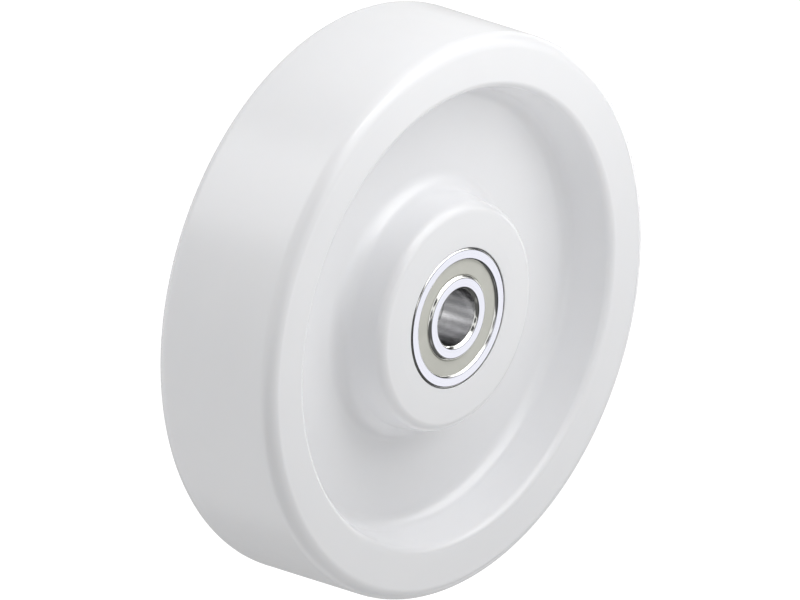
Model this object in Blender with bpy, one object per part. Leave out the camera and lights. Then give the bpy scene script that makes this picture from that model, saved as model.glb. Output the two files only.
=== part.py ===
"""A heavy-duty castor wheel of white nylon with two sealed ball bearings for a 20 mm axle.

The wheel lies on its side and turns about Z. Its middle is at the origin and its front face looks up.
Heights are along Z, and an outline is a list of (radius, height) points that is turned about Z.
"""

from math import acos, asin, cos, pi, radians, sin, tan

import bmesh
import bpy
from mathutils import Vector

MM = 0.001

# Wheel body: rim, tread, web and hub in one moulding
WHEEL_DIAMETER = 200.0 * MM
RIM_WIDTH = 51.5 * MM
TREAD_CORNER_ROUND = 5.0 * MM
RIM_THICKNESS = 18.6 * MM
RIM_LIP_ROUND = 3.0 * MM
RECESS_TAPER = 3.8 * MM
RECESS_FILLET = 5.0 * MM
WEB_THICKNESS = 16.0 * MM
HUB_WALL = 13.0 * MM
HUB_TAPER = 3.6 * MM
HUB_EDGE_ROUND = 2.8 * MM
HUB_FILLET = 6.5 * MM
HUB_FACE_INSET = 0.1 * MM
HUB_FACE_FALL = 0.4 * MM
SEAT_FACE_WIDTH = 4.1 * MM
SEAT_SHOULDER = 3.4 * MM
RETAINING_LIP = 1.2 * MM

# Ball bearings, 20 x 52 x 15 mm. The ball's size is a share of the room between bore and outside, unless the
# seals leave less, and each ball groove is as deep as a share of the ball.
BEARING_BORE = 20.0 * MM
BEARING_OUTSIDE = 52.0 * MM
BEARING_WIDTH = 15.0 * MM
BEARING_INSET = 0.05 * MM
BALL_SHARE = 0.5953125
BALL_COUNT = 7
GROOVE_CONFORMITY = 1.04
INNER_GROOVE_SHARE = 0.206
OUTER_GROOVE_SHARE = 0.216
OUTER_FACE_SETBACK = 0.3 * MM
BORE_EDGE = 1.0 * MM
BORE_SEAM_EDGE = 0.3 * MM
INNER_RING_EDGE = 0.8 * MM
OUTER_RING_EDGE_WIDTH = 1.9 * MM
OUTER_RING_EDGE_DEPTH = 1.4 * MM

# Seals, snapped into a groove of the outer ring
SEAL_THICKNESS = 0.8 * MM
SEAL_DEPTH = 0.95 * MM
SEAL_GROOVE_DEPTH = 0.4 * MM
SEAL_LIP_OVERHANG = 0.45 * MM
SEAL_LIP_THICKNESS = 0.35 * MM
SEAL_LIP_TAPER = 0.6 * MM

# Ball cages, pressed from strip and riveted
CAGE_STRIP_WIDTH = 3.0 * MM
CAGE_STRIP_THICKNESS = 0.6 * MM
RIVET_DIAMETER = 1.4 * MM
RIVET_HEAD_DIAMETER = 2.4 * MM
RIVET_HEAD_HEIGHT = 0.5 * MM

# Spacer tube between the two inner rings
SPACER_WALL = 3.5 * MM

# Clearances
PRESS_GAP = 0.1 * MM
FACE_GAP = 0.1 * MM
RACE_GAP = 0.12 * MM
POCKET_GAP = 0.15 * MM
CAGE_SEAL_GAP = 0.2375 * MM
SEAL_RUNNING_GAP = 0.12 * MM
CAGE_SPLIT_GAP = 0.1 * MM
RIVET_GAP = 0.1 * MM
DRILL_OVERRUN = 0.5 * MM

# How finely round forms are divided
WHEEL_STEPS = 48
RING_STEPS = 28
RIVET_STEPS = 6
RACE_STEPS = 3
POCKET_STEPS = 6
ROUND_STEPS = 3
RIM_LIP_STEPS = 2
BALL_SUBDIVISIONS = 2
AXIS_MERGE = 0.01 * MM
SHARP_ANGLE = radians(35.0)

# Radii and heights that follow from the sizes above
BORE_RADIUS = BEARING_BORE / 2
BEARING_RADIUS = BEARING_OUTSIDE / 2
RING_SECTION = BEARING_RADIUS - BORE_RADIUS
BESIDE_BALL = POCKET_GAP + CAGE_STRIP_THICKNESS + CAGE_SEAL_GAP + SEAL_THICKNESS + SEAL_DEPTH
BALL_DIAMETER = min(RING_SECTION * BALL_SHARE, BEARING_WIDTH - 2 * BESIDE_BALL)
BALL_RADIUS = BALL_DIAMETER / 2
PITCH_RADIUS = (BORE_RADIUS + BEARING_RADIUS) / 2
GROOVE_RADIUS = BALL_RADIUS * GROOVE_CONFORMITY
INNER_RACE_RADIUS = PITCH_RADIUS - BALL_RADIUS - RACE_GAP
OUTER_RACE_RADIUS = PITCH_RADIUS + BALL_RADIUS + RACE_GAP
INNER_SHOULDER_RADIUS = PITCH_RADIUS - BALL_RADIUS + BALL_DIAMETER * INNER_GROOVE_SHARE
OUTER_SHOULDER_RADIUS = PITCH_RADIUS + BALL_RADIUS - BALL_DIAMETER * OUTER_GROOVE_SHARE
HALF_BEARING = BEARING_WIDTH / 2
HALF_RIM = RIM_WIDTH / 2
BEARING_HEIGHT = HALF_RIM - BEARING_INSET - HALF_BEARING
BALL_ANGLE = 2 * pi / BALL_COUNT

# Finishes: base colour, roughness and metallic value
NYLON = ((0.86, 0.87, 0.89), 0.32, 0.0)
POLISHED_STEEL = ((0.82, 0.82, 0.86), 0.12, 1.0)
SEAL_RUBBER = ((0.50, 0.50, 0.44), 0.60, 0.0)
PRESSED_STEEL = ((0.60, 0.58, 0.54), 0.35, 1.0)
TURNED_STEEL = ((0.42, 0.42, 0.44), 0.30, 1.0)


def clear_scene():
    for old in list(bpy.data.objects):
        bpy.data.objects.remove(old, do_unlink=True)


def finished(obj, finish):
    """Gives the object a material of its own."""
    colour, roughness, metallic = finish
    material = bpy.data.materials.new(obj.name)
    material.use_nodes = True
    surface = material.node_tree.nodes["Principled BSDF"]
    surface.inputs["Base Color"].default_value = (*colour, 1.0)
    surface.inputs["Roughness"].default_value = roughness
    surface.inputs["Metallic"].default_value = metallic
    obj.data.materials.clear()
    obj.data.materials.append(material)
    return obj


def placed(name, mesh, parent):
    obj = bpy.data.objects.new(name, mesh)
    bpy.context.scene.collection.objects.link(obj)
    obj.parent = parent
    return obj


def smooth_mesh(name, shape):
    """The finished mesh, smooth where it is round and sharp at its edges."""
    mesh = bpy.data.meshes.new(name)
    shape.to_mesh(mesh)
    shape.free()
    mesh.shade_smooth()
    mesh.set_sharp_from_angle(angle=SHARP_ANGLE)
    return mesh


def carrier(name, height, turned_over=False):
    """An empty on the axle that pieces are parented to."""
    empty = placed(name, None, None)
    empty.location.z = height
    empty.rotation_euler.x = pi if turned_over else 0.0
    return empty


def rounded(corners):
    """Outline points from corners: (radius, height), or (radius, height, round, steps) for a rounded one."""
    outline = []
    for index, corner in enumerate(corners):
        point = Vector(corner[:2])
        if len(corner) == 2:
            outline.append(point)
            continue
        size, steps = corner[2:]
        to_last = (Vector(corners[index - 1][:2]) - point).normalized()
        to_next = (Vector(corners[(index + 1) % len(corners)][:2]) - point).normalized()
        half_angle = to_last.angle(to_next) / 2
        centre = point + (to_last + to_next).normalized() * (size / sin(half_angle))
        start = point + to_last * (size / tan(half_angle)) - centre
        sweep = start.angle_signed(point + to_next * (size / tan(half_angle)) - centre)
        for step in range(steps + 1):
            turn = -sweep * step / steps
            across = start.x * cos(turn) - start.y * sin(turn)
            up = start.x * sin(turn) + start.y * cos(turn)
            outline.append(centre + Vector((across, up)))
    return outline


def mirrored(upper, under=None):
    """A closed outline from its upper half, with the same half under it or another one.

    Points on the middle plane are used once.
    """
    lower = [Vector((point[0], -point[1])) for point in reversed(under or upper) if point[1] > 0.0]
    return [Vector(point) for point in upper] + lower


def widened(outline, steps):
    """The outline of a hole's wall, moved out so that its flats, not its corners, lie on the true radius."""
    return [Vector((point[0] / cos(pi / steps), point[1])) for point in outline]


def turned(name, outline, steps, parent, closed=True):
    """A solid of revolution. The outline runs out along the top and down the outer side."""
    shape = bmesh.new()
    points = [shape.verts.new((point[0], 0.0, point[1])) for point in outline]
    ends = points[1:] + points[:1] if closed else points[1:]
    edges = [shape.edges.new(pair) for pair in zip(points, ends)]
    bmesh.ops.spin(shape, geom=points + edges, axis=(0, 0, 1), angle=2 * pi, steps=steps, use_merge=True)
    bmesh.ops.remove_doubles(shape, verts=shape.verts, dist=AXIS_MERGE)
    bmesh.ops.recalc_face_normals(shape, faces=shape.faces)
    return placed(name, smooth_mesh(name, shape), parent)


def race(centre_radius, shoulder_radius, side):
    """The upper half of a ball groove, from its bottom to the shoulder. side is 1 outside, -1 inside."""
    reach = acos(side * (shoulder_radius - centre_radius) / GROOVE_RADIUS)
    groove = []
    for step in range(RACE_STEPS + 1):
        angle = reach * step / RACE_STEPS
        groove.append((centre_radius + side * GROOVE_RADIUS * cos(angle), GROOVE_RADIUS * sin(angle)))
    return groove


def wheel_body():
    """Hub face, tapered hub, web, slanted recess wall, rim face and tread, the same on both faces.

    The bearing's seat ends in a small lip that closes over the outer ring's bevel, so that the ring snaps in.
    """
    seat = BEARING_RADIUS + PRESS_GAP
    seat_floor = BEARING_HEIGHT - HALF_BEARING - FACE_GAP
    seat_top = BEARING_HEIGHT + HALF_BEARING - OUTER_RING_EDGE_DEPTH + FACE_GAP
    lip_foot = seat_top + RETAINING_LIP * OUTER_RING_EDGE_DEPTH / OUTER_RING_EDGE_WIDTH
    hub_face = HALF_RIM - HUB_FACE_INSET
    hub_top = BEARING_RADIUS + HUB_WALL
    rim_lip = WHEEL_DIAMETER / 2 - RIM_THICKNESS
    half_web = WEB_THICKNESS / 2
    bore = widened(
        [
            (BEARING_RADIUS - SEAT_SHOULDER, seat_floor),
            (seat, seat_floor),
            (seat, seat_top),
            (seat - RETAINING_LIP, lip_foot),
            (seat - RETAINING_LIP, hub_face),
        ],
        WHEEL_STEPS,
    )
    face = rounded(
        [
            (BEARING_RADIUS + SEAT_FACE_WIDTH, hub_face),
            (hub_top, hub_face - HUB_FACE_FALL, HUB_EDGE_ROUND, ROUND_STEPS),
            (hub_top + HUB_TAPER, half_web, HUB_FILLET, ROUND_STEPS),
            (rim_lip - RECESS_TAPER, half_web, RECESS_FILLET, ROUND_STEPS),
            (rim_lip, HALF_RIM, RIM_LIP_ROUND, RIM_LIP_STEPS),
            (WHEEL_DIAMETER / 2, HALF_RIM, TREAD_CORNER_ROUND, ROUND_STEPS),
            (WHEEL_DIAMETER / 2, 0.0),
        ]
    )
    return finished(turned("wheel_body", mirrored(bore + face[:-1]), WHEEL_STEPS, None), NYLON)


def outer_ring(side, bearing):
    """Ball groove, shoulder, seal groove, the lip that holds the seal, the face and the pressed outside."""
    groove_top = HALF_BEARING - SEAL_DEPTH + FACE_GAP / 2
    groove_floor = groove_top - SEAL_THICKNESS - FACE_GAP
    lip = OUTER_SHOULDER_RADIUS - SEAL_LIP_OVERHANG
    inside = widened(
        race(OUTER_RACE_RADIUS - GROOVE_RADIUS, OUTER_SHOULDER_RADIUS, 1)
        + [
            (OUTER_SHOULDER_RADIUS, groove_floor),
            (OUTER_SHOULDER_RADIUS + SEAL_GROOVE_DEPTH, groove_floor),
            (OUTER_SHOULDER_RADIUS + SEAL_GROOVE_DEPTH, groove_top),
            (lip, groove_top),
            (OUTER_SHOULDER_RADIUS + OUTER_FACE_SETBACK, HALF_BEARING),
        ],
        RING_STEPS,
    )
    outside = [
        (BEARING_RADIUS - OUTER_RING_EDGE_WIDTH, HALF_BEARING),
        (BEARING_RADIUS, HALF_BEARING - OUTER_RING_EDGE_DEPTH),
    ]
    ring = turned(f"{side}_outer_ring", mirrored(inside + outside), RING_STEPS, bearing)
    return finished(ring, POLISHED_STEEL)


def inner_ring_half(bore_edge):
    """One end of the inner ring: the bore's edge, the clamped face and half of the ball groove."""
    ground = race(INNER_RACE_RADIUS + GROOVE_RADIUS, INNER_SHOULDER_RADIUS, -1)
    return [
        (BORE_RADIUS, HALF_BEARING - bore_edge),
        (BORE_RADIUS + bore_edge, HALF_BEARING),
        (INNER_SHOULDER_RADIUS - INNER_RING_EDGE, HALF_BEARING),
        (INNER_SHOULDER_RADIUS, HALF_BEARING - INNER_RING_EDGE),
        *reversed(ground),
    ]


def inner_ring(side, sleeve):
    """The ring on the axle. Its bore has a wide edge at the outer end and a small one at the spacer."""
    outline = mirrored(inner_ring_half(BORE_EDGE), inner_ring_half(BORE_SEAM_EDGE))
    return finished(turned(f"{side}_inner_ring", outline, RING_STEPS, sleeve), POLISHED_STEEL)


def seal(name, bearing, turned_over):
    """A flat ring with a thin lip that runs just clear of the inner ring's shoulder."""
    top = HALF_BEARING - SEAL_DEPTH
    bottom = top - SEAL_THICKNESS
    outside = OUTER_SHOULDER_RADIUS + SEAL_GROOVE_DEPTH - PRESS_GAP
    lip = INNER_SHOULDER_RADIUS + SEAL_RUNNING_GAP
    inside = widened([(lip, top - SEAL_LIP_THICKNESS), (lip, top)], RING_STEPS)
    rest = [(outside, top), (outside, bottom), (lip + SEAL_LIP_TAPER, bottom)]
    ring = turned(name, inside + [Vector(point) for point in rest], RING_STEPS, bearing)
    ring.rotation_euler.x = pi if turned_over else 0.0
    return finished(ring, SEAL_RUBBER)


def strip_sections():
    """The cage strip's cross-sections, in order round the cage, each with its four corners.

    Between two balls the strip is flat. Over each ball it bends to a half round, whose sides stay parallel to
    the line from the axle through that ball.
    """
    base = CAGE_SPLIT_GAP / 2
    hollow = BALL_RADIUS + POCKET_GAP
    back = hollow + CAGE_STRIP_THICKNESS
    first_hollow = asin(base / hollow)
    first_back = asin((base + CAGE_STRIP_THICKNESS) / back)
    near = PITCH_RADIUS - CAGE_STRIP_WIDTH / 2
    far = PITCH_RADIUS + CAGE_STRIP_WIDTH / 2
    for index in range(BALL_COUNT):
        out = Vector((cos(index * BALL_ANGLE), sin(index * BALL_ANGLE), 0.0))
        along = Vector((-out.y, out.x, 0.0))
        for step in range(POCKET_STEPS + 1):
            share = step / POCKET_STEPS
            low = first_hollow + (pi - 2 * first_hollow) * share
            high = first_back + (pi - 2 * first_back) * share
            inner = along * (-hollow * cos(low)) + Vector((0.0, 0.0, hollow * sin(low)))
            outer = along * (-back * cos(high)) + Vector((0.0, 0.0, back * sin(high)))
            yield [out * near + inner, out * far + inner, out * far + outer, out * near + outer]


def on_pitch_circle(angle):
    return Vector((PITCH_RADIUS * cos(angle), PITCH_RADIUS * sin(angle), 0.0))


def rivet_place(index):
    """In the middle of the flat between two balls."""
    return on_pitch_circle((index + 0.5) * BALL_ANGLE)


def cage_half(name, cage, turned_over):
    shape = bmesh.new()
    rows = [[shape.verts.new(corner) for corner in section] for section in strip_sections()]
    for index, row in enumerate(rows):
        following = rows[(index + 1) % len(rows)]
        for side in range(4):
            nearby = (side + 1) % 4
            shape.faces.new((row[side], row[nearby], following[nearby], following[side]))
    bmesh.ops.recalc_face_normals(shape, faces=shape.faces)
    half = placed(name, smooth_mesh(name, shape), cage)
    half.rotation_euler.x = pi if turned_over else 0.0
    for index in range(BALL_COUNT):
        drill = rivet_drill(f"{name}_drill_{index + 1}", index, half)
        cut = half.modifiers.new(f"rivet_hole_{index + 1}", "BOOLEAN")
        cut.operation = "DIFFERENCE"
        cut.object = drill
    return finished(half, PRESSED_STEEL)


def rivet_drill(name, index, half):
    """The cutter for a rivet's hole, which isn't part of the wheel."""
    radius = (RIVET_DIAMETER / 2 + RIVET_GAP) / cos(pi / RIVET_STEPS)
    depth = 2 * (CAGE_SPLIT_GAP / 2 + CAGE_STRIP_THICKNESS + DRILL_OVERRUN)
    shape = bmesh.new()
    bmesh.ops.create_cone(
        shape, cap_ends=True, segments=RIVET_STEPS, radius1=radius, radius2=radius, depth=depth
    )
    drill = placed(name, smooth_mesh(name, shape), half)
    drill.location = rivet_place(index)
    drill.hide_render = True
    drill.display_type = "WIRE"
    return drill


def rivet(name, index, cage):
    """Shank through both halves and a flat head on each."""
    shank = RIVET_DIAMETER / 2
    head = RIVET_HEAD_DIAMETER / 2
    head_foot = CAGE_SPLIT_GAP / 2 + CAGE_STRIP_THICKNESS + RIVET_GAP
    head_top = head_foot + RIVET_HEAD_HEIGHT
    upper = [(0.0, head_top), (head, head_top), (head, head_foot), (shank, head_foot)]
    piece = turned(name, mirrored(upper), RIVET_STEPS, cage, closed=False)
    piece.location = rivet_place(index)
    return finished(piece, PRESSED_STEEL)


def ball(name, index, cage):
    shape = bmesh.new()
    bmesh.ops.create_icosphere(shape, subdivisions=BALL_SUBDIVISIONS, radius=BALL_RADIUS)
    piece = placed(name, smooth_mesh(name, shape), cage)
    piece.location = on_pitch_circle(index * BALL_ANGLE)
    return finished(piece, POLISHED_STEEL)


def bearing(side, height, turned_over):
    """One bearing: rings, seals, and the cage with its balls and rivets."""
    fixed = carrier(f"{side}_bearing", height, turned_over)
    outer_ring(side, fixed)
    seal(f"{side}_outer_seal", fixed, False)
    seal(f"{side}_inner_seal", fixed, True)
    inner_ring(side, carrier(f"{side}_sleeve_end", height, turned_over))
    cage = carrier(f"{side}_cage", height, turned_over)
    cage_half(f"{side}_cage_outer_half", cage, False)
    cage_half(f"{side}_cage_inner_half", cage, True)
    for index in range(BALL_COUNT):
        ball(f"{side}_ball_{index + 1}", index, cage)
        rivet(f"{side}_cage_rivet_{index + 1}", index, cage)


def spacer_tube():
    """The tube of the axle's bore that keeps the two inner rings apart."""
    top = BEARING_HEIGHT - HALF_BEARING - FACE_GAP
    outside = BORE_RADIUS + SPACER_WALL
    upper = [
        (BORE_RADIUS, top - BORE_SEAM_EDGE),
        (BORE_RADIUS + BORE_SEAM_EDGE, top),
        (outside - BORE_SEAM_EDGE, top),
        (outside, top - BORE_SEAM_EDGE),
    ]
    return finished(turned("spacer_tube", mirrored(upper), RING_STEPS, None), TURNED_STEEL)


def main():
    clear_scene()
    wheel_body()
    spacer_tube()
    bearing("front", BEARING_HEIGHT, False)
    bearing("rear", -BEARING_HEIGHT, True)


main()
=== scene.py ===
# %% [markdown]
# A castor wheel, dressed for the studio
#
# The frame holds a white nylon wheel on its side, with two sealed ball bearings for a plain axle. It is
# right in shape and size, but it is cut from flat facets and has no finish. This lesson gives each piece a
# smooth surface and a material that looks like the real one, then lights it as a catalogue photograph
# would.

# %% Load the frame
from math import acos, asin, cos, pi, radians, sin, tan

import bpy
from mathutils import Matrix, Vector


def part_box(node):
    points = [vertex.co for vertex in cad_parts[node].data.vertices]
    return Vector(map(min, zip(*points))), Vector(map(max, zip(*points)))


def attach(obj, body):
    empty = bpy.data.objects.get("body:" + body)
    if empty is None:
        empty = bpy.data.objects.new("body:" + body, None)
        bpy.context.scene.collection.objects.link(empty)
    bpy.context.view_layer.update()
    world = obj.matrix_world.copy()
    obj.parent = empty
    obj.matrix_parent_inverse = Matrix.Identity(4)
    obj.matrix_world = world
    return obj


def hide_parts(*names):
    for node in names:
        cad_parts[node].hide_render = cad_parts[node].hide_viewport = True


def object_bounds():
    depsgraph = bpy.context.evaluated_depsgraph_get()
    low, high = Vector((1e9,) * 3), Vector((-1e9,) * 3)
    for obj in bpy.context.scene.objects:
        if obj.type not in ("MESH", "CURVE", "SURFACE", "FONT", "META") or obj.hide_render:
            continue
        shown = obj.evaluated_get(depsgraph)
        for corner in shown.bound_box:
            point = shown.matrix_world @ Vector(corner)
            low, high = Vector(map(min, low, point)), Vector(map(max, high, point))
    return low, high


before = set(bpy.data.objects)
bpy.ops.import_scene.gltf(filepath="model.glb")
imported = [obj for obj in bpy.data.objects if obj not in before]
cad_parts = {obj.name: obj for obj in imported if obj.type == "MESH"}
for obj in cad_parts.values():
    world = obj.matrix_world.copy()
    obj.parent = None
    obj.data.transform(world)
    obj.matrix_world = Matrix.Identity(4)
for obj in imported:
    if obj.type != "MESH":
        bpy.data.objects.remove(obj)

MM = 0.001
cad_low, cad_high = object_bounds()
print("frame:", len(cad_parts), "nodes, from", tuple(cad_low), "to", tuple(cad_high))

# %% [markdown]
# The frame says how large everything is
#
# Each piece made here stands for one in the frame, so it has to have the same outline. The outside sizes
# can be read from the frame's boxes, which is safer than typing them again. The wheel's axle is the Z axis,
# so a box's largest X is a radius, and its largest Z is how far a piece reaches along the axle.

# %% Read the outside sizes
WHEEL_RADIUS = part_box("wheel_body")[1].x
HALF_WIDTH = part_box("wheel_body")[1].z
ring_low, ring_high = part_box("front_outer_ring")
BEARING_RADIUS = ring_high.x
BEARING_HEIGHT = (ring_low.z + ring_high.z) / 2
HALF_BEARING = (ring_high.z - ring_low.z) / 2
INNER_RING_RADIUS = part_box("front_inner_ring")[1].x
ball_low, ball_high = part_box("front_ball_1")
BALL_RADIUS = (ball_high.z - ball_low.z) / 2
PITCH_RADIUS = (ball_low.x + ball_high.x) / 2
BALL_COUNT = len([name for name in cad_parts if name.startswith("front_ball_")])
print(f"wheel {2000 * WHEEL_RADIUS:.1f} x {2000 * HALF_WIDTH:.1f} mm, bearing {2000 * BEARING_RADIUS:.1f} mm")
print(f"{BALL_COUNT} balls of {2000 * BALL_RADIUS:.3f} mm on a circle of {2000 * PITCH_RADIUS:.1f} mm")

# %% [markdown]
# The camera
#
# The photograph was taken from so far away that its circles are all the same kind of ellipse, so an
# orthographic camera fits it. How flat the ellipses are gives the angle between the line of sight and the
# axle. In the picture the axle points to the right and a little down, so the camera is rolled until it does
# that here too.

# %% Place the camera
SIGHT_ELEVATION = radians(36.63)
AXLE_DROP = radians(17.42)
PICTURE_WIDTH = 273.1 * MM
AIM_LEFT = 0.215 * MM
AIM_UP = 0.065 * MM
CAMERA_DISTANCE = 1.2


def new_object(name, data):
    """A new object in the scene."""
    made = bpy.data.objects.new(name, data)
    bpy.context.scene.collection.objects.link(made)
    return made


camera_data = bpy.data.cameras.new("camera")
camera_data.type = "ORTHO"
camera_data.ortho_scale = PICTURE_WIDTH
camera = new_object("camera", camera_data)
tilt = Matrix.Rotation(pi / 2 - SIGHT_ELEVATION, 4, "X")
roll = Matrix.Rotation(pi / 2 + AXLE_DROP, 4, "Z")
camera.matrix_world = tilt @ roll @ Matrix.Translation((-AIM_LEFT, AIM_UP, CAMERA_DISTANCE))
bpy.context.scene.camera = camera
print("camera at", tuple(round(part, 3) for part in camera.matrix_world.translation))

# %% [markdown]
# Helpers for node trees
#
# A material, a shader group and a geometry tree are all node trees, so the same helpers build them. An
# input takes either a number or another node's output, so a tree reads like the sum that it works out. Each
# material keeps its own Principled shader, with its steady values on the shader's sockets.

# %% Node helpers
def put(tree, socket, value):
    """Feeds an input from another node's output, or sets its own value."""
    if isinstance(value, bpy.types.NodeSocket):
        tree.links.new(value, socket)
    else:
        socket.default_value = value


def node(tree, kind, inputs=None, **options):
    """A new node with its options set and its inputs fed, each by name or by number."""
    made = tree.nodes.new(kind)
    for option, value in options.items():
        setattr(made, option, value)
    for socket, value in (inputs or {}).items():
        put(tree, made.inputs[socket], value)
    return made


def sum_of(tree, operation, first, second=0.0, third=0.0):
    """One step of arithmetic."""
    return node(tree, "ShaderNodeMath", {0: first, 1: second, 2: third}, operation=operation).outputs[0]


def vector(tree, **parts):
    """A vector from its parts."""
    return node(tree, "ShaderNodeCombineXYZ", parts).outputs[0]


def add_sockets(tree, way, kind, labels):
    """Adds named inputs or outputs of one kind to a group, with their values if labels has them."""
    for label in labels:
        socket = tree.interface.new_socket(label, in_out=way, socket_type=f"NodeSocket{kind}")
        if isinstance(labels, dict):
            socket.default_value = labels[label]


def group_in(tree, group, **values):
    """A shader group placed in another tree with its own values."""
    inputs = {label.replace("_", " "): value for label, value in values.items()}
    return node(tree, "ShaderNodeGroup", inputs, node_tree=group).outputs


def finish(name, **steady):
    """A material with its Principled shader's steady values set."""
    made = bpy.data.materials.new(name)
    made.use_nodes = True
    shader = made.node_tree.nodes["Principled BSDF"]
    for socket, value in steady.items():
        shader.inputs[socket.replace("_", " ")].default_value = value
    return made, made.node_tree, shader


# %% [markdown]
# The floor
#
# The wheel lies on a plain floor at the frame's lowest height. The photograph's background is pure white
# with no shadow. A lit white sheet would show one, so the floor glows at full white by itself. It reaches
# 12 m each way, because a view from low down looks far across it. Only the camera sees it: the wheel's
# light, and all that its steel mirrors, come from the world and the lamps.

# %% Lay the floor
FLOOR_HALF = 12.0
FLOOR_PAPER = (0.16, 0.16, 0.16, 1.0)
FLOOR_GLOW = (1.0, 1.0, 1.0, 1.0)

paper = finish(
    "studio_floor", Base_Color=FLOOR_PAPER, Roughness=1.0, Specular_IOR_Level=0.0,
    Emission_Color=FLOOR_GLOW, Emission_Strength=1.0,
)[0]
floor_mesh = bpy.data.meshes.new("studio_floor")
corners = [(x * FLOOR_HALF, y * FLOOR_HALF, cad_low.z) for x, y in ((-1, -1), (1, -1), (1, 1), (-1, 1))]
floor_mesh.from_pydata(corners, [], [(0, 1, 2, 3)])
floor_mesh.materials.append(paper)
floor = new_object("studio_floor", floor_mesh)
floor.visible_diffuse = False
floor.visible_glossy = False
floor.visible_shadow = False
print("floor at", round(cad_low.z, 5))

# %% [markdown]
# The room
#
# The photograph's room is white and very even, which is why the nylon has hardly any shadow. Steel needs
# more than that: a mirror in an even room is one flat grey. So a photographer stands white and black cards
# round the bearing, and its bevels pick them up as the bright and dark lines that make it look sharp. They
# could be planes that glow, but then each would also light the wheel and shade its neighbours. Here every
# card and every soft light is a soft-edged patch of the world. One shader group says how far a direction
# lies inside a patch.

# %% A patch of the room
def card_mask():
    """How far a direction lies inside a round card: nought outside it and one well within."""
    group = bpy.data.node_groups.new("card mask", "ShaderNodeTree")
    add_sockets(group, "INPUT", "Vector", ["Direction", "Toward Card"])
    add_sockets(group, "INPUT", "Float", ["Card Angle", "Soft Edge"])
    add_sockets(group, "OUTPUT", "Float", ["Inside"])
    given = node(group, "NodeGroupInput").outputs
    toward = given["Toward Card"]
    facing = node(group, "ShaderNodeVectorMath", {0: given["Direction"], 1: toward}, operation="DOT_PRODUCT")
    apart = sum_of(group, "ARCCOSINE", facing.outputs["Value"])
    inside = sum_of(group, "SUBTRACT", given["Card Angle"], apart)
    edge = node(
        group, "ShaderNodeMapRange",
        {"Value": inside, "From Min": 0.0, "From Max": given["Soft Edge"]},
        interpolation_type="SMOOTHSTEP",
    )
    put(group, node(group, "NodeGroupOutput").inputs["Inside"], edge.outputs["Result"])
    return group


CARD_MASK = card_mask()
world = bpy.data.worlds.new("studio")
bpy.context.scene.world = world
world.use_nodes = True
room = world.node_tree
looking = node(room, "ShaderNodeTexCoord").outputs["Generated"]


def inside_card(toward, angle, soft):
    """How far the world's direction lies inside one card, whose angles are in degrees."""
    card = group_in(
        room, CARD_MASK, Direction=looking, Toward_Card=Vector(toward).normalized(),
        Card_Angle=radians(angle), Soft_Edge=radians(soft),
    )
    return card["Inside"]


print("shader group:", CARD_MASK.name)

# %% [markdown]
# What the steel mirrors
#
# A bevel in the photograph that is bright or dark says what stood in the direction that it mirrors, so the
# cards can be placed one by one. Above the picture is a bright card with a soft box in it, and below it a
# dark one. Small black cards make the dark breaks in the bevels. The flat faces mirror one patch, which
# holds a white card with a black surround. Two more stand where the bore looks. Each card's tone is mixed
# over what is there already, so a later card covers an earlier one.

# %% Stand the cards
MIRRORED_TONE = 0.95
# Where each card stands, how wide it is and how soft its edge, both in degrees, and its tone
CARDS = {
    "bright card above": ((-0.80, 0.10, 0.58), 44.0, 6.0, 1.20),
    "soft box above": ((-0.80, 0.06, 0.58), 30.0, 16.0, 3.00),
    "dark card below": ((0.80, 0.05, 0.60), 49.0, 4.0, 0.10),
    "grey stripe in the dark card": ((0.80, 0.05, 0.60), 12.0, 8.0, 0.25),
    "low soft box behind": ((-0.36, 0.93, 0.05), 24.0, 10.0, 2.60),
    "black card at the top bevels": ((-0.64, 0.75, 0.155), 17.0, 4.0, 0.05),
    "black card at the bottom bevels": ((0.60, 0.80, 0.08), 18.0, 6.0, 0.05),
    "first black card overhead": ((-0.29, -0.60, 0.745), 12.0, 3.0, 0.05),
    "second black card overhead": ((0.14, -0.645, 0.75), 10.0, 3.0, 0.05),
    "third black card overhead": ((-0.23, -0.30, 0.93), 8.0, 3.0, 0.05),
    "fourth black card overhead": ((0.12, -0.32, 0.94), 7.0, 3.0, 0.05),
    "black surround of the white card": ((0.0, 0.80, 0.60), 32.0, 5.0, 0.06),
    "white card for the ring faces": ((0.0, 0.80, 0.60), 19.0, 4.0, 1.06),
    "white card under the bore": ((-0.35, -0.72, -0.60), 24.0, 14.0, 3.2),
    "black card under the bore": ((0.30, 0.75, -0.60), 38.0, 14.0, 0.45),
}

mirrored = MIRRORED_TONE
for toward, angle, soft, tone in CARDS.values():
    covered = inside_card(toward, angle, soft)
    mirrored = node(room, "ShaderNodeMix", {"Factor": covered, "A": mirrored, "B": tone}).outputs["Result"]
print(len(CARDS), "cards in a room of tone", MIRRORED_TONE)

# %% [markdown]
# What lights the nylon
#
# White plastic hardly mirrors, so it shows only how much light falls on it from each side. The same cards
# could light it, as they would in a studio, but each change to a bevel would then change the whole wheel. A
# shader can keep the two apart, because the world may answer each kind of ray in its own way: a glossy ray
# sees the cards, and all others see a dim room with wide, soft glows in it. The glows add up. Their tones
# were found by comparing the nylon's brightness with the photograph's, face by face.

# %% Hang the glows
ROOM_TONE = 0.17
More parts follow.
